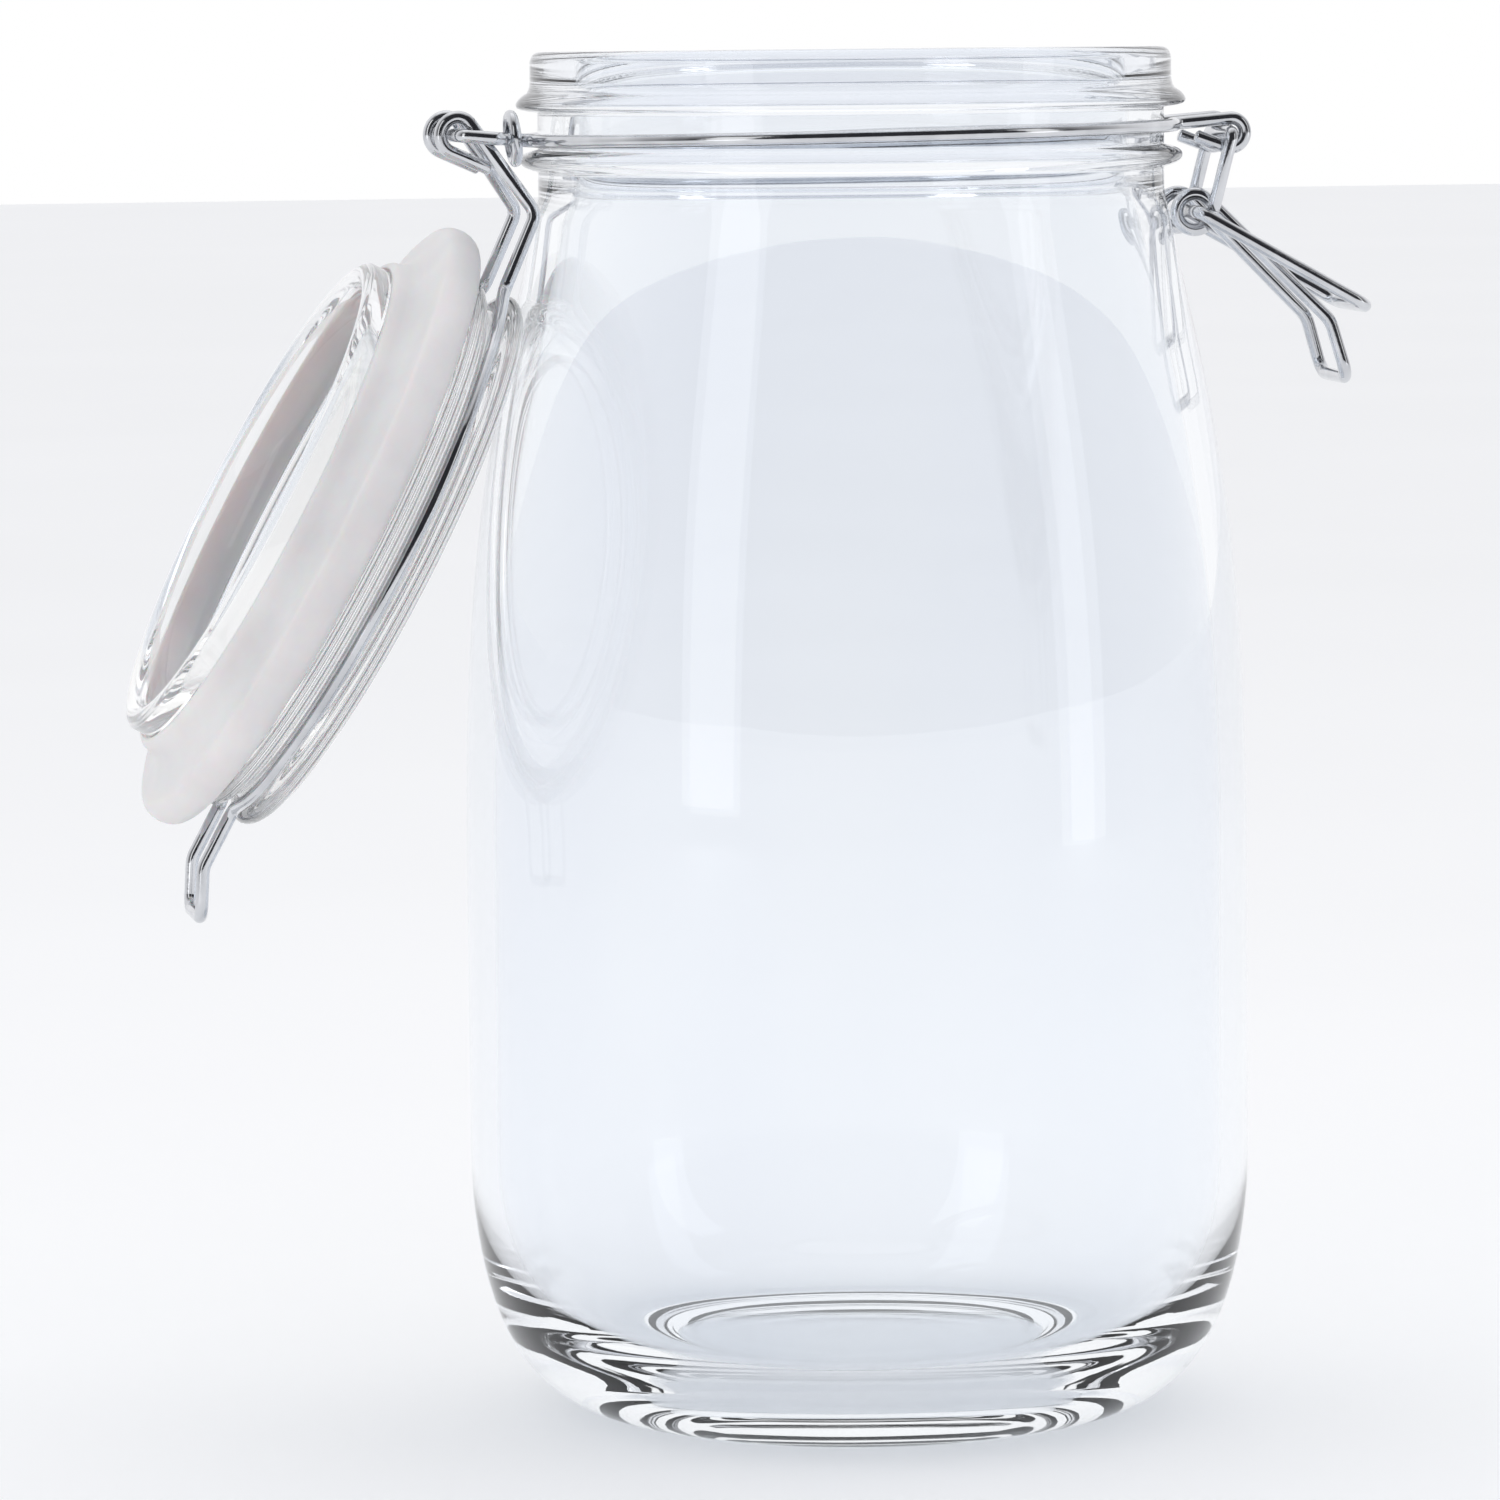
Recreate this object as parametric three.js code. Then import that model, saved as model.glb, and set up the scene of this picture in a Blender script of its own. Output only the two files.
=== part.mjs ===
// Bail clamp jar standing open: glass jar, hinged glass lid with its seal, and the wire closure round the neck.
// Millimetres, +Z up, jar axis vertical, latch on +X, hinge on -X.
import * as THREE from "three";

// ---- driving dimensions ----
const RIM_Z = 207.5;
const NECK_R = 47.5;
const BODY_R = 59.7;
const MOUTH_R = 42;
const GLASS_WALL = 4.2;
const WIRE_R = 1.0;
const GAP = 0.3;

const RING_R = NECK_R + WIRE_R + GAP;
const RING_Z_HINGE = 194.2;
const RING_Z_LATCH = 195.7;

const HINGE = { x: -61, z: 195.2 };
const HINGE_BAR_HALF = 8.7;
const KEYHOLE_HALF = WIRE_R + GAP / 2;
const CURL_R = 2.73;

const LID_HANG_DEG = 28.4;
const LID_CENTRE_U = 61.9;
const LID_R = 44.5;
const LID_LIFT = 0.7;
const GROOVE_N = 15.5 + LID_LIFT;
const LID_NECK_R = 41;

const LATCH_YAW_DEG = -4;
const P0 = { x: 58, z: 194.3 };
const P1 = { x: 52.5, z: 182.3 };
const HOOK_R = 2.3;
const HOOK_HALF = 7.1;
const HANGER_HALF = 9.4;
const LEVER_HALF = 11.7;

const ROUND_STEPS = 48;
const WIRE_SIDES = 8;
const BEND_STEP_DEG = 30;

const rad = THREE.MathUtils.degToRad;
const part = new THREE.Group();
part.name = "bail_clamp_jar";
const inner = new THREE.Group();
part.add(inner);

// ---- materials ----
function material(color, roughness, metalness) {
  return new THREE.MeshStandardMaterial({ color, roughness, metalness });
}
const glass = (color) => material(color, 0.05, 0.0);
const chrome = () => material(0xc9ccd0, 0.15, 1.0);

function add(name, geometry, finish, parent) {
  const mesh = new THREE.Mesh(geometry, finish);
  mesh.name = name;
  parent.add(mesh);
  return mesh;
}

// ---- turned pieces ----
// A profile is [radius, height] corners; an entry with a curve adds a round stretch.
function profile(entries) {
  const points = [];
  for (const entry of entries) {
    if (Array.isArray(entry)) {
      points.push(new THREE.Vector2(entry[0], entry[1]));
      continue;
    }
    const [a, b, c, d] = entry.curve.map(([r, z]) => new THREE.Vector2(r, z));
    const curve = d ? new THREE.CubicBezierCurve(a, b, c, d) : new THREE.QuadraticBezierCurve(a, b, c);
    points.push(...curve.getPoints(entry.steps));
  }
  return points;
}

function turned(entries) {
  const geometry = new THREE.LatheGeometry(profile(entries), ROUND_STEPS);
  geometry.rotateX(Math.PI / 2);
  return geometry;
}

// ---- bent wire ----
// Straights between corners, each corner rounded to its own bend radius.
class WirePath extends THREE.Curve {
  constructor(corners) {
    super();
    this.points = [];
    this.tangents = [];
    const last = corners.length - 1;
    this.station(corners[0].at, this.heading(corners, 0));
    for (let i = 1; i < last; i += 1) {
      this.bend(corners, i, last);
    }
    this.station(corners[last].at, this.heading(corners, last - 1));
    this.steps = this.points.length - 1;
  }

  heading(corners, i) {
    return corners[i + 1].at.clone().sub(corners[i].at).normalize();
  }

  station(point, tangent) {
    const previous = this.points[this.points.length - 1];
    if (previous && previous.distanceTo(point) < 0.02) {
      return;
    }
    this.points.push(point.clone());
    this.tangents.push(tangent.clone());
  }

  bend(corners, i, last) {
    const into = this.heading(corners, i - 1);
    const out = this.heading(corners, i);
    const turn = into.angleTo(out);
    const corner = corners[i].at;
    const before = corner.distanceTo(corners[i - 1].at) * (i === 1 ? 1 : 0.5);
    const after = corner.distanceTo(corners[i + 1].at) * (i === last - 1 ? 1 : 0.5);
    const setback = Math.min(corners[i].r * Math.tan(turn / 2), before, after);
    const radius = setback / Math.tan(turn / 2);
    const side = out.clone().sub(into.clone().multiplyScalar(into.dot(out))).normalize();
    const start = corner.clone().addScaledVector(into, -setback);
    const centre = start.clone().addScaledVector(side, radius);
    const steps = Math.max(1, Math.ceil(THREE.MathUtils.radToDeg(turn) / (corners[i].step ?? BEND_STEP_DEG)));
    for (let s = 0; s <= steps; s += 1) {
      const angle = (turn * s) / steps;
      const point = centre.clone();
      point.addScaledVector(side, -radius * Math.cos(angle));
      point.addScaledVector(into, radius * Math.sin(angle));
      const tangent = into.clone().multiplyScalar(Math.cos(angle)).addScaledVector(side, Math.sin(angle));
      this.station(point, tangent);
    }
  }

  getPointAt(t) {
    return this.points[Math.round(t * this.steps)].clone();
  }

  getTangentAt(t) {
    return this.tangents[Math.round(t * this.steps)].clone();
  }
}

function corner(x, y, z, r = 1.6, step = undefined) {
  return { at: new THREE.Vector3(x, y, z), r, step };
}

function wire(corners, radius = WIRE_R) {
  const section = [];
  for (let i = 0; i < WIRE_SIDES; i += 1) {
    const angle = (2 * Math.PI * (i + 0.5)) / WIRE_SIDES;
    section.push(new THREE.Vector2(radius * Math.cos(angle), radius * Math.sin(angle)));
  }
  const path = new WirePath(corners);
  return new THREE.ExtrudeGeometry(new THREE.Shape(section), {
    steps: path.steps,
    extrudePath: path,
    bevelEnabled: false,
  });
}

// Corners of a curl of radius r about (cx, cz), going from one angle to another in the x-z plane at width y.
function curl(cx, cz, y, r, fromDeg, toDeg) {
  const count = Math.ceil(Math.abs(toDeg - fromDeg) / 80);
  const turn = (toDeg - fromDeg) / count;
  const reach = r / Math.cos(rad(turn / 2));
  const corners = [];
  for (let i = 0; i < count; i += 1) {
    const angle = rad(fromDeg + turn * (i + 0.5));
    corners.push(corner(cx + reach * Math.cos(angle), y, cz + reach * Math.sin(angle), r));
  }
  return corners;
}

function onCircle(cx, cz, y, r, deg) {
  return corner(cx + r * Math.cos(rad(deg)), y, cz + r * Math.sin(rad(deg)));
}

// The same corners on the other side of the middle plane, in the opposite order.
function mirrored(corners) {
  const copy = corners.map(({ at, r, step }) => corner(at.x, -at.y, at.z, r, step));
  return copy.reverse();
}

// ---- jar ----
const jarGeometry = turned([
  [0, 4],
  { curve: [[28, 4], [31.5, 3.6], [33.4, 0]], steps: 2 },
  { curve: [[36.6, 0], [52, 0.4], [59.3, 15.5], [BODY_R, 40]], steps: 6 },
  { curve: [[BODY_R, 84.3], [BODY_R, 137.6], [54.2, 153.6], [NECK_R, 185.6]], steps: 8 },
  [NECK_R, 189.2],
  { curve: [[48.9, 189.8], [50.3, 190.2], [50.3, 191.3]], steps: 2 },
  { curve: [[50.3, 191.3], [50.2, 192.3], [NECK_R, 192.8]], steps: 2 },
  [NECK_R, 198.4],
  { curve: [[49.6, 198.6], [50.8, 198.8], [50.8, 199.5]], steps: 2 },
  { curve: [[50.8, 199.5], [50.5, 200.6], [49.1, 201.3]], steps: 2 },
  [48.6, 202.8],
  { curve: [[48.6, RIM_Z - 1.6], [48.5, RIM_Z - 0.1], [47, RIM_Z]], steps: 3 },
  { curve: [[43.6, RIM_Z], [42.1, RIM_Z - 0.1], [MOUTH_R, RIM_Z - 1.6]], steps: 3 },
  [MOUTH_R, 190],
  { curve: [[43, 184], [50, 153.5], [BODY_R - GLASS_WALL, 137.6], [BODY_R - GLASS_WALL, 84.3]], steps: 6 },
  { curve: [[BODY_R - GLASS_WALL, 40], [55.3, 20], [49, 9.8], [34, 8.8]], steps: 5 },
  [0, 8.2],
]);
add("jar", jarGeometry, glass(0xe4eef0), inner);

// ---- wire collar round the neck ----
const ringTilt = (RING_Z_LATCH - RING_Z_HINGE) / 2;
const ringMid = (RING_Z_LATCH + RING_Z_HINGE) / 2;

function ringPoint(deg, radius) {
  const x = radius * Math.cos(rad(deg));
  return corner(x, radius * Math.sin(rad(deg)), ringMid + (ringTilt * x) / RING_R, RING_R, 10);
}

const latchFrame = new THREE.Matrix4().makeRotationZ(rad(LATCH_YAW_DEG));
latchFrame.setPosition(P0.x, 0, 0);

function inLatch(corners) {
  return corners.map(({ at, r, step }) => {
    const moved = at.clone().sub(new THREE.Vector3(P0.x, 0, 0)).applyMatrix4(latchFrame);
    return { at: moved, r, step };
  });
}

// One half of the collar, from its hook on the latch side to its end of the hinge bar.
function collarHalf(side) {
  const tailDeg = -110.7;
  const tail = 4.8;
  const tailStart = onCircle(P0.x, P0.z, side * HOOK_HALF, HOOK_R, tailDeg).at;
  const tailEnd = corner(tailStart.x - tail * Math.cos(rad(20.7)), tailStart.y, tailStart.z + tail * Math.sin(rad(20.7)));
  const hook = inLatch([tailEnd, ...curl(P0.x, P0.z, side * HOOK_HALF, HOOK_R, tailDeg, 90)]);
  const legY = side * HOOK_HALF + 0.68;
  const spread = 3.4;
  const cornerR = RING_R / Math.cos(rad(spread));
  const startDeg = THREE.MathUtils.radToDeg(Math.asin(legY / cornerR));
  const hookFoot = ringPoint(startDeg, cornerR);
  hookFoot.r = 2.4;
  hookFoot.step = BEND_STEP_DEG;
  const endDeg = side * (180 - THREE.MathUtils.radToDeg(Math.asin(KEYHOLE_HALF / RING_R)));
  const firstDeg = startDeg + side * spread;
  const lastDeg = endDeg - side * 3.4;
  const count = 6;
  const turn = (lastDeg - firstDeg) / count;
  const ring = [];
  for (let i = 0; i < count; i += 1) {
    ring.push(ringPoint(firstDeg + turn * (i + 0.5), RING_R / Math.cos(rad(turn / 2))));
  }
  const keyhole = [
    corner(-RING_R - 0.1, side * KEYHOLE_HALF, RING_Z_HINGE, 2.4),
    corner(-53.4, side * KEYHOLE_HALF, RING_Z_HINGE + 0.35, 1.3),
    corner(-55.4, side * HINGE_BAR_HALF, RING_Z_HINGE + 0.5, 1.4),
    corner(HINGE.x, side * HINGE_BAR_HALF, HINGE.z, 1.3),
  ];
  return [...hook, hookFoot, ...ring, ...keyhole];
}

const farHalf = collarHalf(1);
const nearHalf = collarHalf(-1);
add("neck_wire", wire([...farHalf, ...nearHalf.reverse()]), chrome(), inner);

const tieGeometry = new THREE.TorusGeometry(3.5, 0.85, WIRE_SIDES, 24);
tieGeometry.rotateY(Math.PI / 2 - rad(6));
tieGeometry.translate(-51.9, 0, 194.6);
add("tie_ring", tieGeometry, chrome(), inner);

// ---- latch ----
const latch = new THREE.Group();
latch.position.set(P0.x, 0, 0);
latch.rotation.z = rad(LATCH_YAW_DEG);
inner.add(latch);
const latchPieces = new THREE.Group();
latchPieces.position.set(-P0.x, 0, 0);
latch.add(latchPieces);

const hangerFoot = { x: 54.9, z: 182.2 };
const hangerSide = [corner(hangerFoot.x, HANGER_HALF, hangerFoot.z), corner(P0.x, HANGER_HALF, P0.z, 1.2)];
add("hanger", wire([...hangerSide, ...mirrored(hangerSide)]), chrome(), latchPieces);

const LEVER_REACH = 29.7;
const LEVER_DEG = -29.4;
const leverEnd = onCircle(P1.x, P1.z, 0, LEVER_REACH, LEVER_DEG).at;
const leverButt = GAP / 2;
const leverSide = [
  corner(P1.x, leverButt, P1.z),
  corner(P1.x, LEVER_HALF, P1.z, 1.5),
  corner(leverEnd.x, LEVER_HALF, leverEnd.z, 2.4),
];
add("lever", wire([...leverSide, ...mirrored(leverSide)]), chrome(), latchPieces);

const BAIL_LEAVE_DEG = 44.4;
const BAIL_CURL_DEG = 263;
const bailBend = onCircle(P1.x, P1.z, 9.2, 26.6, -39.2).at;
const bailEnd = onCircle(P1.x, P1.z, 9.7, 34.4, -47.8).at;
const bailSide = [
  onCircle(P1.x, P1.z, HOOK_HALF, CURL_R, BAIL_LEAVE_DEG + BAIL_CURL_DEG),
  ...curl(P1.x, P1.z, HOOK_HALF, CURL_R, BAIL_LEAVE_DEG + BAIL_CURL_DEG, BAIL_LEAVE_DEG),
  corner(bailBend.x, bailBend.y, bailBend.z, 5),
  corner(bailEnd.x, bailEnd.y, bailEnd.z, 2.6),
];
add("bail", wire([...bailSide, ...mirrored(bailSide)]), chrome(), latchPieces);

// ---- lid, drawn shut over the mouth and swung open about the hinge bar ----
const lidGroup = new THREE.Group();
lidGroup.position.set(HINGE.x, 0, HINGE.z);
lidGroup.rotation.y = rad(90 + LID_HANG_DEG);
inner.add(lidGroup);
const lidTurned = new THREE.Group();
lidTurned.position.set(LID_CENTRE_U, 0, 0);
lidGroup.add(lidTurned);

const lidGeometry = turned([
  [0, 6.4],
  { curve: [[26, 6.4], [34.6, 6.3], [35.2, -1.6]], steps: 3 },
  { curve: [[35.4, -2.6], [36.6, -3.7], [38.3, -3.6], [39.2, -2.2]], steps: 3 },
  [39.3, 9.6],
  { curve: [[39.8, 11.5], [43.4, 11.5], [44.0, 11.6], [44.1, 12.6]], steps: 2 },
  { curve: [[44.1, 13.4], [44.0, 14.4], [42.6, 14.7], [LID_NECK_R, 14.9]], steps: 3 },
  { curve: [[LID_NECK_R, 17.3], [42.4, 17.5], [44.2, 17.6], [LID_R, 18.6]], steps: 3 },
  { curve: [[LID_R, 19.0], [44.2, 20.6], [42.2, 21.1], [37, 21.2]], steps: 4 },
  { curve: [[28, 20.8], [12, 20.3], [0, 20.2]], steps: 2 },
]);
add("lid", lidGeometry, glass(0xdfe3e2), lidTurned);

const gasketGeometry = turned([
  [39.6, 1.0],
  [40.6, 1.0],
  { curve: [[40.6, 7.6], [40.7, 9.3], [42.2, 9.4]], steps: 2 },
  [48.2, 9.4],
  { curve: [[49, 9.6], [49.3, 10.4], [48.6, 11.2]], steps: 2 },
  [40.2, 11.2],
  [39.6, 9.4],
  [39.6, 1.0],
]);
add("gasket", gasketGeometry, material(0xdcd9d0, 0.6, 0.0), lidTurned);

const LID_CURL_HALF = 5.6;
const GROOVE_R = LID_NECK_R + WIRE_R + GAP;
const TONGUE_HALF = 7;

function loopPoint(deg, radius) {
  return corner(LID_CENTRE_U + radius * Math.cos(rad(deg)), radius * Math.sin(rad(deg)), GROOVE_N, GROOVE_R, 10);
}

// One half of the lid's wire in the shut position: x away from the hinge, z up.
function lidWireHalf() {
  const legFoot = { u: 5.07, n: 14.5 + LID_LIFT, half: 9.2 };
  const grooveIn = 12;
  const legDeg = THREE.MathUtils.radToDeg(Math.atan2(legFoot.n, legFoot.u));
  const leaveDeg = legDeg + 90;
  const tailDeg = leaveDeg + 203;
  const tailAt = onCircle(0, 0, LID_CURL_HALF, CURL_R, tailDeg).at;
  const tailLength = 6.5;
  const tailHeading = rad(tailDeg + 90);
  const start = corner(
    tailAt.x + tailLength * Math.cos(tailHeading),
    LID_CURL_HALF,
    tailAt.z + tailLength * Math.sin(tailHeading),
  );
  const gripDeg = 180 - grooveIn - 4;
  const tongueDeg = 12;
  const count = 5;
  const turn = (tongueDeg - gripDeg) / count;
  const loop = [];
  for (let i = 0; i < count; i += 1) {
    loop.push(loopPoint(gripDeg + turn * (i + 0.5), GROOVE_R / Math.cos(rad(turn / 2))));
  }
  const loopIn = LID_CENTRE_U - GROOVE_R - 2.2;
  return [
    start,
    ...curl(0, 0, LID_CURL_HALF, CURL_R, tailDeg, leaveDeg),
    corner(legFoot.u, legFoot.half, legFoot.n, 2.5),
    corner(loopIn, 9.6, GROOVE_N, 2.5),
    ...loop,
    corner(LID_CENTRE_U + GROOVE_R + 0.6, TONGUE_HALF, GROOVE_N, 2.2),
    corner(114.7, TONGUE_HALF, GROOVE_N, 4),
    corner(121.6, TONGUE_HALF, GROOVE_N + 3.2, 2.2),
  ];
}

const lidWireSide = lidWireHalf();
add("lid_wire", wire([...lidWireSide, ...mirrored(lidWireSide)]), chrome(), lidGroup);

// ---- origin at the middle of the foot of the whole object ----
part.updateMatrixWorld(true);
const bounds = new THREE.Box3().setFromObject(inner, true);
inner.position.set(-(bounds.min.x + bounds.max.x) / 2, -(bounds.min.y + bounds.max.y) / 2, -bounds.min.z);

export default part;
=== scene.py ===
"""Bail clamp jar: fine glass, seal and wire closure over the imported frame, in a pale studio."""
from math import atan2, ceil, cos, degrees, pi, radians, sin, sqrt, tan

import bpy
from mathutils import Matrix, Vector


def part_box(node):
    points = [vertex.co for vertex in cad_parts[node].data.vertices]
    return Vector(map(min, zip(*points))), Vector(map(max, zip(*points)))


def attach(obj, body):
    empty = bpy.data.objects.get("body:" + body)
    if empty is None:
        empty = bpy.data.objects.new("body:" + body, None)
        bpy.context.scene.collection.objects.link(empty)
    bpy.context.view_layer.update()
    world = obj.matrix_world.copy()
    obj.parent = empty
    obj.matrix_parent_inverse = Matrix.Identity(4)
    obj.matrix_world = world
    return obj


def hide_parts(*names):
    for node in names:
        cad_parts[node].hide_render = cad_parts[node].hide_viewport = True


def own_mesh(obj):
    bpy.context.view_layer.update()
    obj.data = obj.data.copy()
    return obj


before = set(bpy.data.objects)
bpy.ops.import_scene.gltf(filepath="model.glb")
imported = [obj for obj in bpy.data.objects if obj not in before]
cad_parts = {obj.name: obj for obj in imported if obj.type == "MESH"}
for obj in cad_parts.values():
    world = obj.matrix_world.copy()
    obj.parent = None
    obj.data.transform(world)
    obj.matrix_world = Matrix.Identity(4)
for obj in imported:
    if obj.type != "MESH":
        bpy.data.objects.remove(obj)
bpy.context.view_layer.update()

MM = 0.001
jar_low, jar_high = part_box("jar")
AXIS_X = (jar_low.x + jar_high.x) / 2 / MM

# ---- sizes in millimetres, from the jar's own axis at the foot ----
RIM = jar_high.z / MM
NECK_R = 47.5
BODY_R = 59.7
MOUTH_R = 42.0
WALL = 4.2
WIRE_R = 1.0
GAP = 0.3
RING_R = NECK_R + WIRE_R + GAP
RING_Z_HINGE, RING_Z_LATCH = 194.2, 195.7
HINGE = (-61.0, 195.2)
HINGE_BAR_HALF = 8.7
KEYHOLE_HALF = WIRE_R + GAP / 2
CURL_R = 2.73
LID_HANG = 28.4
LID_U = 61.9
GROOVE_N = 16.2
LID_NECK_R = 41.0
LATCH_YAW = -4.0
P0 = (58.0, 194.3)
P1 = (52.5, 182.3)
HOOK_R, HOOK_HALF = 2.3, 7.1
HANGER_HALF, LEVER_HALF = 9.4, 11.7
PUSH_UP, BASE_TOP = 4.0, 8.2
BODY_LOW, BODY_HIGH = 84.3, 137.6
LOWER_BEAD_R, UPPER_BEAD_R, LIP_R = 50.3, 50.8, 48.6
PLUG_R, LOWER_FLANGE_R, LID_R = 39.3, 44.1, 44.5
SEAL_R = 39.6
SEAL_LIP_R = 49.8
LID_CURL_HALF, TONGUE_HALF = 5.6, 7
TIE_R, TIE_WIRE_R, TIE_AT, TIE_LEAN = 3.5, 0.85, (-51.9, 194.6), 84

# ---- fineness of the meshes ----
ROUND = 128
SIDES = 16
TIE_STATIONS = 48
BEND_STEP = 8.0
WIDE_BEND_R, WIDE_BEND_STEP = 20, 4.0
CURL_CORNER_STEP = 80
SAME_POINT = 1e-4
SAME_STATION = 0.02

FROM_JAR = Matrix.Translation((AXIS_X * MM, 0, 0)) @ Matrix.Scale(MM, 4)
LATCH_TURN = Matrix.Translation((P0[0], 0, 0)) @ Matrix.Rotation(radians(LATCH_YAW), 4, "Z")
LATCH_TURN = LATCH_TURN @ Matrix.Translation((-P0[0], 0, 0))
FROM_LATCH = FROM_JAR @ LATCH_TURN
FROM_LID = FROM_JAR @ Matrix.Translation((HINGE[0], 0, HINGE[1]))
FROM_LID = FROM_LID @ Matrix.Rotation(radians(90 + LID_HANG), 4, "Y")


# ---- mesh helpers ----
def mesh_object(name, points, faces, place):
    mesh = bpy.data.meshes.new(name)
    mesh.from_pydata([place @ Vector(p) for p in points], [], faces)
    mesh.validate()
    mesh.shade_smooth()
    made = bpy.data.objects.new(name, mesh)
    bpy.context.collection.objects.link(made)
    return made


def bezier(points, steps):
    """Points along a curve with two, one or no handles, without its first point."""
    made = []
    for i in range(1, steps + 1):
        row = [Vector(p) for p in points]
        while len(row) > 1:
            row = [a.lerp(b, i / steps) for a, b in zip(row, row[1:])]
        made.append(tuple(row[0]))
    return made


def outline(*parts):
    """A profile from (radius, height) corners and curves, each curve its control points and step count."""
    made = []
    for part in parts:
        if not isinstance(part[0], tuple):
            made.append(part)
            continue
        if not made or (Vector(made[-1]) - Vector(part[0])).length > SAME_POINT:
            made.append(tuple(part[0]))
        made += bezier(part[:-1], part[-1])
    return made


def turned(name, profile, place):
    """A turned solid. A profile closes on the axis if it starts and ends there, or else on itself."""
    points, rings = [], []
    for r, z in profile:
        if r < 1e-6:
            rings.append([len(points)])
            points.append((0, 0, z))
            continue
        rings.append(range(len(points), len(points) + ROUND))
        turns = [2 * pi * k / ROUND for k in range(ROUND)]
        points += [(r * cos(a), r * sin(a), z) for a in turns]
    pairs = list(zip(rings, rings[1:]))
    if profile[0][0] > 1e-6:
        pairs.append((rings[-1], rings[0]))
    faces = []
    for a, b in pairs:
        for k in range(ROUND):
            n = (k + 1) % ROUND
            if len(a) == 1:
                faces.append((a[0], b[n], b[k]))
            elif len(b) == 1:
                faces.append((a[k], a[n], b[0]))
            else:
                faces.append((a[k], a[n], b[n], b[k]))
    return mesh_object(name, points, faces, place)


def corner(x, y, z, r=1.6):
    return Vector((x, y, z)), r


def rounded_path(corners):
    """Stations along straights whose corners are rounded, each with its direction."""
    stations = [(corners[0][0], (corners[1][0] - corners[0][0]).normalized())]
    last = len(corners) - 1
    for i in range(1, last):
        at, r = corners[i]
        into = (at - corners[i - 1][0]).normalized()
        out = (corners[i + 1][0] - at).normalized()
        turn = into.angle(out)
        before = (at - corners[i - 1][0]).length * (1 if i == 1 else 0.5)
        after = (corners[i + 1][0] - at).length * (1 if i == last - 1 else 0.5)
        setback = min(r * tan(turn / 2), before, after)
        radius = setback / tan(turn / 2)
        side = (out - into * into.dot(out)).normalized()
        centre = at - into * setback + side * radius
        steps = max(1, ceil(degrees(turn) / (BEND_STEP if r < WIDE_BEND_R else WIDE_BEND_STEP)))
        for s in range(steps + 1):
            a = turn * s / steps
            station = centre - side * radius * cos(a) + into * radius * sin(a)
            if (station - stations[-1][0]).length > SAME_STATION:
                stations.append((station, into * cos(a) + side * sin(a)))
    end = corners[last][0]
    stations.append((end, (end - corners[last - 1][0]).normalized()))
    return stations


def wire(name, corners, place, radius=WIRE_R):
    """A round wire with softly rounded cut ends."""
    stations = rounded_path(corners)
    heading = stations[0][1]
    side = heading.orthogonal().normalized()
    sections = []
    for at, direction in stations:
        side = heading.rotation_difference(direction) @ side
        side = (side - direction * side.dot(direction)).normalized()
        heading = direction
        sections.append((at, direction, side, radius))
    first, final = sections[0], sections[-1]
    nose = ((0.0, 0.72), (0.12, 0.9), (0.3, 1.0))
    start = [(first[0] + first[1] * d, first[1], first[2], radius * s) for d, s in nose]
    end = [(final[0] - final[1] * d, final[1], final[2], radius * s) for d, s in reversed(nose)]
    sections = start + sections[1:-1] + end
    points, faces = [], []
    for at, direction, side, r in sections:
        up = direction.cross(side)
        for k in range(SIDES):
            a = 2 * pi * k / SIDES
            points.append(at + side * r * cos(a) + up * r * sin(a))
    for s in range(len(sections) - 1):
        for k in range(SIDES):
            n = (k + 1) % SIDES
            faces.append((s * SIDES + k, s * SIDES + n, (s + 1) * SIDES + n, (s + 1) * SIDES + k))
    top = (len(sections) - 1) * SIDES
    faces.append(tuple(reversed(range(SIDES))))
    faces.append(tuple(range(top, top + SIDES)))
    return mesh_object(name, points, faces, place)


def on_circle(centre, y, r, angle):
    return corner(centre[0] + r * cos(radians(angle)), y, centre[1] + r * sin(radians(angle)))


def curl(centre, y, r, start, end):
    """Corners of a round curl in the x-z plane."""
    count = ceil(abs(end - start) / CURL_CORNER_STEP)
    turn = (end - start) / count
    reach = r / cos(radians(turn / 2))
    return [(on_circle(centre, y, reach, start + turn * (i + 0.5))[0], r) for i in range(count)]


def mirrored(corners):
    return [(Vector((at.x, -at.y, at.z)), r) for at, r in reversed(corners)]


# ---- materials ----
NOISE_LOW, NOISE_HIGH = 0.3, 0.7


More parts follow.
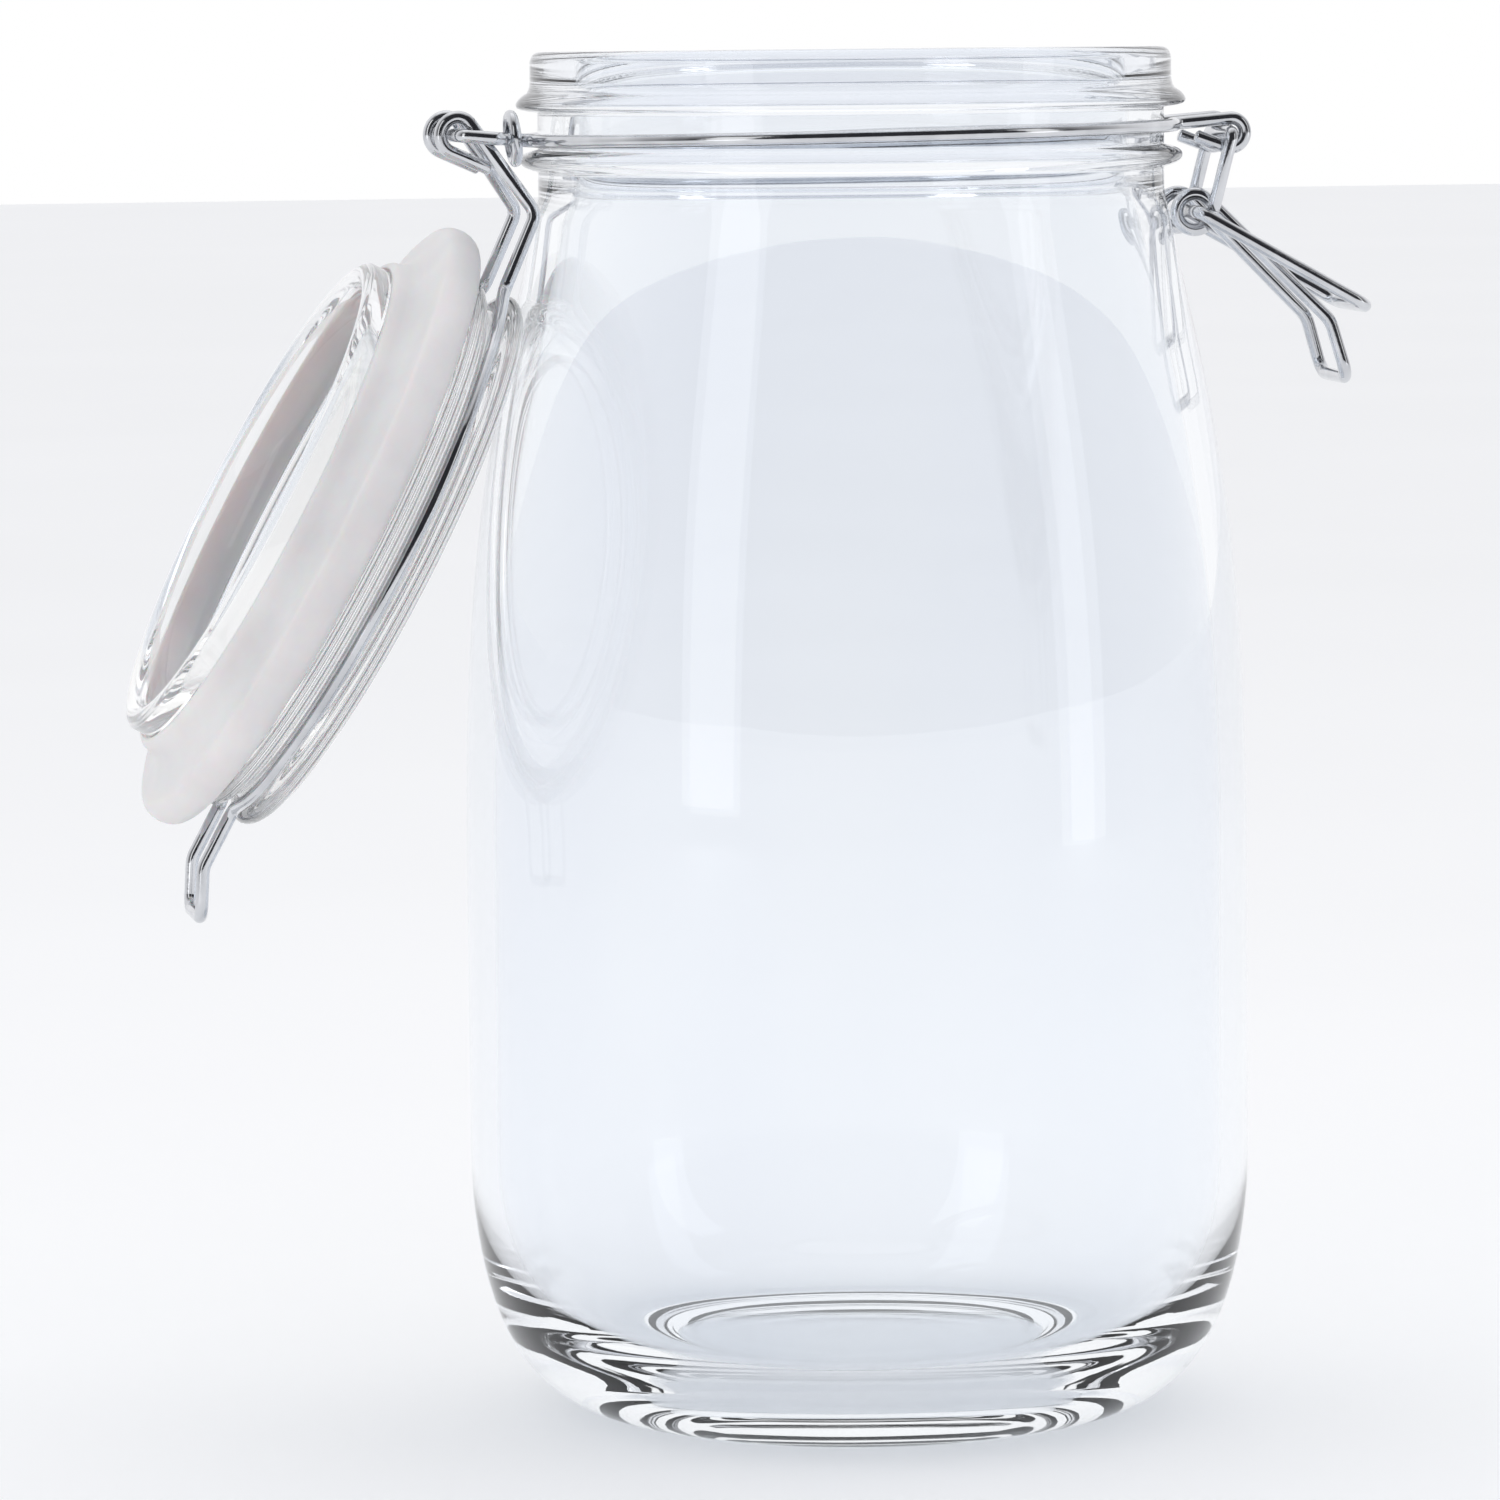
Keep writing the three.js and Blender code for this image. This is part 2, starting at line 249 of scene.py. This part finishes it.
class Nodes:
    """A material's node tree, with short calls for what every finish here needs."""

    def __init__(self, name):
        self.material = bpy.data.materials.new(name)
        self.material.use_nodes = True
        self.tree = self.material.node_tree
        self.shader = self.tree.nodes["Principled BSDF"]
        self.output = self.tree.nodes["Material Output"]
        self.place = self.tree.nodes.new("ShaderNodeTexCoord").outputs["Object"]

    def set(self, **values):
        for key, value in values.items():
            self.shader.inputs[key.replace("_", " ")].default_value = value

    def noise(self, scale, detail=2.0, stretch=(1, 1, 1)):
        mapping = self.tree.nodes.new("ShaderNodeMapping")
        mapping.inputs["Scale"].default_value = stretch
        self.tree.links.new(self.place, mapping.inputs["Vector"])
        texture = self.tree.nodes.new("ShaderNodeTexNoise")
        texture.inputs["Scale"].default_value = scale
        texture.inputs["Detail"].default_value = detail
        self.tree.links.new(mapping.outputs["Vector"], texture.inputs["Vector"])
        return texture.outputs["Fac"]

    def spread(self, value, low, high):
        ranged = self.tree.nodes.new("ShaderNodeMapRange")
        ranged.inputs["From Min"].default_value = NOISE_LOW
        ranged.inputs["From Max"].default_value = NOISE_HIGH
        ranged.inputs["To Min"].default_value = low
        ranged.inputs["To Max"].default_value = high
        self.tree.links.new(value, ranged.inputs["Value"])
        return ranged.outputs["Result"]

    def ramp(self, value, low, high):
        colours = self.tree.nodes.new("ShaderNodeValToRGB")
        colours.color_ramp.elements[0].position = NOISE_LOW
        colours.color_ramp.elements[1].position = NOISE_HIGH
        colours.color_ramp.elements[0].color = (*low, 1)
        colours.color_ramp.elements[1].color = (*high, 1)
        self.tree.links.new(value, colours.inputs["Fac"])
        return colours.outputs["Color"]

    def bump(self, height, strength, distance):
        made = self.tree.nodes.new("ShaderNodeBump")
        made.inputs["Strength"].default_value = strength
        made.inputs["Distance"].default_value = distance
        self.tree.links.new(height, made.inputs["Height"])
        self.tree.links.new(made.outputs["Normal"], self.shader.inputs["Normal"])

    def feed(self, socket, value):
        self.tree.links.new(value, self.shader.inputs[socket])

    def clear_shadow(self, tint):
        """Shadow rays pass straight through, slightly tinted, so the glass casts a faint shadow."""
        mix = self.tree.nodes.new("ShaderNodeMixShader")
        clear = self.tree.nodes.new("ShaderNodeBsdfTransparent")
        clear.inputs["Color"].default_value = (*tint, 1)
        path = self.tree.nodes.new("ShaderNodeLightPath")
        self.tree.links.new(path.outputs["Is Shadow Ray"], mix.inputs["Fac"])
        self.tree.links.new(self.shader.outputs["BSDF"], mix.inputs[1])
        self.tree.links.new(clear.outputs["BSDF"], mix.inputs[2])
        self.tree.links.new(mix.outputs["Shader"], self.output.inputs["Surface"])


def glass(name, low, high, wave):
    made = Nodes(name)
    made.set(Transmission_Weight=1.0, IOR=1.5)
    made.feed("Base Color", made.ramp(made.noise(18, stretch=(1, 1, 0.4)), low, high))
    made.feed("Roughness", made.spread(made.noise(90), 0.0, 0.02))
    made.bump(made.noise(26, 1.0, (1, 1, 0.35)), wave, 0.002)
    made.clear_shadow((0.93, 0.95, 0.97))
    return made.material


def seal_finish():
    made = Nodes("frosty_silicone")
    made.set(Subsurface_Weight=0.35, Subsurface_Scale=0.004, IOR=1.41)
    made.feed("Base Color", made.ramp(made.noise(60, 4), (0.70, 0.69, 0.69), (0.80, 0.79, 0.785)))
    made.feed("Roughness", made.spread(made.noise(240, 3), 0.38, 0.55))
    made.bump(made.noise(500, 3), 0.08, 0.0004)
    return made.material


def wire_finish():
    made = Nodes("bright_wire")
    made.set(Metallic=1.0)
    made.feed("Base Color", made.ramp(made.noise(150, 3), (0.56, 0.57, 0.59), (0.72, 0.73, 0.75)))
    made.feed("Roughness", made.spread(made.noise(420, 3), 0.07, 0.17))
    made.bump(made.noise(700, 2), 0.05, 0.0003)
    return made.material


JAR_GLASS = glass("clear_jar_glass", (0.93, 0.95, 0.98), (0.965, 0.98, 0.995), 0.10)
LID_GLASS = glass("clear_lid_glass", (0.95, 0.95, 0.945), (0.985, 0.985, 0.98), 0.08)
SEAL = seal_finish()
BRIGHT = wire_finish()


def piece(made, node, body, finish):
    made.data.materials.append(finish)
    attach(made, body)
    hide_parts(node)
    return made


# ---- jar ----
jar_profile = outline(
    (0, PUSH_UP),
    ((24, PUSH_UP), (30.5, 3.8), (33.4, 0), 8),
    ((36.6, 0), (52, 0.4), (59.3, 15.5), (BODY_R, 40), 22),
    ((BODY_R, BODY_LOW), (BODY_R, BODY_HIGH), (54.2, 153.6), (NECK_R, 185.6), 34),
    (NECK_R, 189.0),
    ((NECK_R, 189.4), (48.9, 189.8), (LOWER_BEAD_R, 190.2), (LOWER_BEAD_R, 191.3), 7),
    ((LOWER_BEAD_R, 191.3), (50.2, 192.3), (NECK_R, 192.8), 5),
    (NECK_R, 193.2),
    (NECK_R, 197.9),
    ((NECK_R, 198.4), (49.6, 198.6), (UPPER_BEAD_R, 198.8), (UPPER_BEAD_R, 199.5), 6),
    ((UPPER_BEAD_R, 199.5), (50.5, 200.6), (49.1, 201.3), 5),
    ((49.1, 201.3), (48.7, 201.9), (LIP_R, 202.8), 3),
    ((LIP_R, RIM - 1.8), (48.5, RIM - 0.1), (47, RIM), 7),
    ((43.6, RIM), (42.1, RIM - 0.1), (MOUTH_R, RIM - 1.6), 6),
    ((MOUTH_R, 190), (43, 184), (50, 153.5), (BODY_R - WALL, BODY_HIGH), (BODY_R - WALL, BODY_LOW), 34),
    ((BODY_R - WALL, 40), (55.3, 20), (49, 9.8), (34, 8.8), 22),
    (14, 8.4),
    (0, BASE_TOP),
)
piece(turned("jar_glass_body", jar_profile, FROM_JAR), "jar", "jar", JAR_GLASS)

# ---- wire collar ----
RING_TILT = (RING_Z_LATCH - RING_Z_HINGE) / 2
RING_MID = (RING_Z_LATCH + RING_Z_HINGE) / 2


def ring_point(angle, radius, bend=RING_R):
    x = radius * cos(radians(angle))
    return corner(x, radius * sin(radians(angle)), RING_MID + RING_TILT * x / RING_R, bend)


def latch_to_jar(corners):
    return [(LATCH_TURN @ at, r) for at, r in corners]


def collar_half(side):
    """From the hook on the latch side round to one end of the hinge bar."""
    tail_angle, tail, rise = -110.7, 4.8, radians(20.7)
    tail_start = on_circle(P0, side * HOOK_HALF, HOOK_R, tail_angle)[0]
    tail_end = corner(tail_start.x - tail * cos(rise), tail_start.y, tail_start.z + tail * sin(rise))
    hook = latch_to_jar([tail_end, *curl(P0, side * HOOK_HALF, HOOK_R, tail_angle, 90)])
    spread = 3.4
    foot_r = RING_R / cos(radians(spread))
    foot_y = side * HOOK_HALF + 0.68
    start = degrees(atan2(foot_y, sqrt(foot_r**2 - foot_y**2)))
    end = side * (180 - degrees(atan2(KEYHOLE_HALF, RING_R)))
    first, last, count = start + side * spread, end - side * spread, 6
    turn = (last - first) / count
    reach = RING_R / cos(radians(turn / 2))
    ring = [ring_point(first + turn * (i + 0.5), reach) for i in range(count)]
    keyhole = [
        corner(-RING_R - 0.1, side * KEYHOLE_HALF, RING_Z_HINGE, 2.4),
        corner(-53.4, side * KEYHOLE_HALF, RING_Z_HINGE + 0.35, 1.3),
        corner(-55.4, side * HINGE_BAR_HALF, RING_Z_HINGE + 0.5, 1.4),
        corner(HINGE[0], side * HINGE_BAR_HALF, HINGE[1], 1.3),
    ]
    return [*hook, ring_point(start, foot_r, 2.4), *ring, *keyhole]


collar = wire("collar_wire", [*collar_half(1), *reversed(collar_half(-1))], FROM_JAR)
piece(collar, "neck_wire", "collar", BRIGHT)


def tie(name, radius, wire_r):
    """A small ring, closed on itself, leaning a little outwards."""
    points, faces, turns = [], [], TIE_STATIONS
    for i in range(turns):
        a = 2 * pi * i / turns
        for k in range(SIDES):
            b = 2 * pi * k / SIDES
            out = radius + wire_r * cos(b)
            points.append((out * cos(a), out * sin(a), wire_r * sin(b)))
    for i in range(turns):
        j = (i + 1) % turns
        for k in range(SIDES):
            n = (k + 1) % SIDES
            faces.append((i * SIDES + k, j * SIDES + k, j * SIDES + n, i * SIDES + n))
    place = FROM_JAR @ Matrix.Translation((TIE_AT[0], 0, TIE_AT[1]))
    place = place @ Matrix.Rotation(radians(TIE_LEAN), 4, "Y")
    return mesh_object(name, points, faces, place)


piece(tie("tie_loop", TIE_R, TIE_WIRE_R), "tie_ring", "collar", BRIGHT)

# ---- latch ----
hanger_side = [corner(54.9, HANGER_HALF, 182.2), corner(P0[0], HANGER_HALF, P0[1], 1.2)]
hanger = wire("hanger_wire", [*hanger_side, *mirrored(hanger_side)], FROM_LATCH)
piece(hanger, "hanger", "lever", BRIGHT)

lever_end = on_circle(P1, LEVER_HALF, 29.7, -29.4)[0]
lever_side = [
    corner(P1[0], GAP / 2, P1[1]),
    corner(P1[0], LEVER_HALF, P1[1], 1.5),
    corner(*lever_end, 2.4),
]
lever = wire("lever_wire", [*lever_side, *mirrored(lever_side)], FROM_LATCH)
piece(lever, "lever", "lever", BRIGHT)

bail_side = [
    on_circle(P1, HOOK_HALF, CURL_R, 307.4),
    *curl(P1, HOOK_HALF, CURL_R, 307.4, 44.4),
    corner(*on_circle(P1, 9.2, 26.6, -39.2)[0], 5),
    corner(*on_circle(P1, 9.7, 34.4, -47.8)[0], 2.6),
]
bail = wire("bail_wire", [*bail_side, *mirrored(bail_side)], FROM_LATCH)
piece(bail, "bail", "bail", BRIGHT)

# ---- lid, drawn shut and swung open by its placing ----
FROM_LID_AXIS = FROM_LID @ Matrix.Translation((LID_U, 0, 0))
lid_profile = outline(
    (0, 6.4),
    ((20, 6.4), (34.2, 6.5), (34.9, 4.0), (35.2, -1.6), 12),
    ((35.2, -1.6), (35.4, -2.8), (36.6, -3.7), (38.3, -3.6), (39.2, -2.2), 9),
    (PLUG_R, 4.0),
    (PLUG_R, 9.6),
    ((PLUG_R, 10.6), (39.8, 11.5), (43.4, 11.5), (44.0, 11.6), (LOWER_FLANGE_R, 12.6), 9),
    ((LOWER_FLANGE_R, 12.9), (LOWER_FLANGE_R, 13.4), (44.0, 14.4), (42.6, 14.7), (LID_NECK_R, 14.9), 8),
    ((LID_NECK_R, 17.3), (42.4, 17.5), (44.2, 17.6), (LID_R, 18.6), 8),
    ((LID_R, 19.0), (44.2, 20.6), (42.2, 21.1), (37, 21.2), 10),
    ((37, 21.2), (28, 20.8), (12, 20.3), (0, 20.2), 8),
)
piece(turned("lid_glass_body", lid_profile, FROM_LID_AXIS), "lid", "lid", LID_GLASS)

# The open seal: a soft skirt that flares to a thick lip, which the shut lid presses flat; here it is drawn
# open only.
seal_profile = outline(
    (SEAL_R, 0.8),
    ((SEAL_R, 0.2), (40.3, 0.1), (40.9, 1.0), 4),
    ((40.9, 1.0), (41.5, 4.8), (45.2, 5.0), (47.6, 4.9), 9),
    ((47.6, 4.9), (49.2, 4.9), (49.9, 6.4), (SEAL_LIP_R, 8.0), 7),
    ((SEAL_LIP_R, 8.0), (49.6, 10.0), (48.4, 10.9), (46.2, 11.0), 7),
    (43, 11.2),
    (SEAL_R, 9.4),
)
seal = turned("seal_skirt", seal_profile, FROM_LID_AXIS)
piece(seal, "gasket", "lid", SEAL)
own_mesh(seal)


def lid_wire_half():
    """From a curl on the hinge bar, down the leg, round the lid's groove and out along the tongue."""
    leg = Vector((5.07, 9.2, 15.2))
    leave = degrees(atan2(leg.z, leg.x)) + 90
    tail_angle, tail = leave + 203, 6.5
    tail_at = on_circle((0, 0), LID_CURL_HALF, CURL_R, tail_angle)[0]
    heading = radians(tail_angle + 90)
    start = corner(tail_at.x + tail * cos(heading), LID_CURL_HALF, tail_at.z + tail * sin(heading))
    groove_r = LID_NECK_R + WIRE_R + GAP
    grip, tongue, count = 164, 12, 5
    turn = (tongue - grip) / count
    loop = []
    for i in range(count):
        a = radians(grip + turn * (i + 0.5))
        reach = groove_r / cos(radians(turn / 2))
        loop.append(corner(LID_U + reach * cos(a), reach * sin(a), GROOVE_N, groove_r))
    return [
        start,
        *curl((0, 0), LID_CURL_HALF, CURL_R, tail_angle, leave),
        (leg, 2.5),
        corner(LID_U - groove_r - 2.2, 9.6, GROOVE_N, 2.5),
        *loop,
        corner(LID_U + groove_r + 0.6, TONGUE_HALF, GROOVE_N, 2.2),
        corner(114.7, TONGUE_HALF, GROOVE_N, 4),
        corner(121.6, TONGUE_HALF, GROOVE_N + 3.2, 2.2),
    ]


lid_wire = wire("lid_loop_wire", [*lid_wire_half(), *mirrored(lid_wire_half())], FROM_LID)
piece(lid_wire, "lid_wire", "lid", BRIGHT)


# ---- studio, in metres ----
FLOOR_HALF, FLOOR_DROP = 9, 0.0002


def studio_floor():
    points = [(x * FLOOR_HALF, y * FLOOR_HALF, 0) for x, y in ((-1, -1), (1, -1), (1, 1), (-1, 1))]
    place = Matrix.Translation((0, 0, -FLOOR_DROP))
    made = mesh_object("studio_floor", points, [(0, 1, 2, 3)], place)
    finish = Nodes("pale_paper")
    finish.set(Roughness=0.9, Emission_Color=(1, 1, 1, 1), Emission_Strength=0.07)
    finish.feed("Base Color", finish.ramp(finish.noise(3, 4), (0.93, 0.93, 0.935), (0.95, 0.95, 0.955)))
    made.data.materials.append(finish.material)


def studio_sky():
    """White all round to look through, but darker at the front for what the wires and glass mirror."""
    world = bpy.data.worlds.new("studio")
    bpy.context.scene.world = world
    world.use_nodes = True
    tree = world.node_tree
    direction = tree.nodes.new("ShaderNodeTexCoord").outputs["Generated"]
    split = tree.nodes.new("ShaderNodeSeparateXYZ")
    tree.links.new(direction, split.inputs["Vector"])
    depth = tree.nodes.new("ShaderNodeMapRange")
    depth.inputs["From Min"].default_value = -1
    tree.links.new(split.outputs["Y"], depth.inputs["Value"])

    def shade(front, back, start, end):
        ramp = tree.nodes.new("ShaderNodeValToRGB")
        ramp.color_ramp.elements[0].position = start
        ramp.color_ramp.elements[0].color = (*front, 1)
        ramp.color_ramp.elements[1].position = end
        ramp.color_ramp.elements[1].color = (*back, 1)
        tree.links.new(depth.outputs["Result"], ramp.inputs["Fac"])
        return ramp.outputs["Color"]

    mix = tree.nodes.new("ShaderNodeMixRGB")
    path = tree.nodes.new("ShaderNodeLightPath")
    # 1 until a ray has gone through glass, 0 afterwards.
    outside = tree.nodes.new("ShaderNodeMath")
    outside.operation = "LESS_THAN"
    outside.inputs[1].default_value = 0.5
    tree.links.new(path.outputs["Transmission Depth"], outside.inputs[0])
    mirrored_first = tree.nodes.new("ShaderNodeMath")
    mirrored_first.operation = "MULTIPLY"
    tree.links.new(outside.outputs["Value"], mirrored_first.inputs[0])
    tree.links.new(path.outputs["Is Glossy Ray"], mirrored_first.inputs[1])
    tree.links.new(mirrored_first.outputs["Value"], mix.inputs["Fac"])
    tree.links.new(shade((0.66, 0.68, 0.73), (1.0, 1.0, 1.0), 0.1, 0.75), mix.inputs["Color1"])
    tree.links.new(shade((0.03, 0.03, 0.035), (0.95, 0.95, 0.97), 0.3, 0.7), mix.inputs["Color2"])
    tree.links.new(mix.outputs["Color"], tree.nodes["Background"].inputs["Color"])


def softbox(name, at, target, width, height, power):
    light = bpy.data.lights.new(name, "AREA")
    light.shape = "RECTANGLE"
    light.size, light.size_y, light.energy = width, height, power
    made = bpy.data.objects.new(name, light)
    made.location = at
    made.rotation_euler = (Vector(target) - Vector(at)).to_track_quat("-Z", "Y").to_euler()
    bpy.context.collection.objects.link(made)


studio_floor()
studio_sky()
middle = (AXIS_X * MM, 0, 0.1)
softbox("left_box", (-0.75, -0.55, 0.45), middle, width=0.3, height=0.9, power=0.9)
softbox("right_box", (0.8, -0.5, 0.4), middle, width=0.22, height=0.9, power=0.6)
softbox("top_box", (0.05, 0.1, 1.1), middle, width=0.9, height=0.9, power=0.8)

# ---- camera, in metres: level with the rim and a little to the left of square on ----
AZIMUTH, PITCH, ROLL = radians(-11), radians(5.56), radians(0.57)
CAMERA_AWAY, CAMERA_HEIGHT, CAMERA_SHIFT, LENS = 1.1, 0.208, 0.0162, 173.4
right = Vector((cos(AZIMUTH), sin(AZIMUTH), 0))
level = Vector((-sin(AZIMUTH), cos(AZIMUTH), 0))
forward = level * cos(PITCH) - Vector((0, 0, sin(PITCH)))
upward = right.cross(forward)
tilted_right = right * cos(ROLL) - upward * sin(ROLL)
tilted_up = upward * cos(ROLL) + right * sin(ROLL)
camera = bpy.data.objects.new("camera", bpy.data.cameras.new("camera"))
camera.data.lens = LENS
seat = Matrix((tilted_right, tilted_up, -forward)).transposed().to_4x4()
seat.translation = Vector((AXIS_X * MM, 0, CAMERA_HEIGHT)) - level * CAMERA_AWAY - right * CAMERA_SHIFT
camera.matrix_world = seat
bpy.context.collection.objects.link(camera)
bpy.context.scene.camera = camera
bpy.context.scene.view_settings.view_transform = "Standard"
# Light goes round many times inside the thick heel and the lid's flanges.
bpy.context.scene.cycles.glossy_bounces = 12
bpy.context.scene.cycles.transmission_bounces = 16
bpy.context.scene.cycles.max_bounces = 16
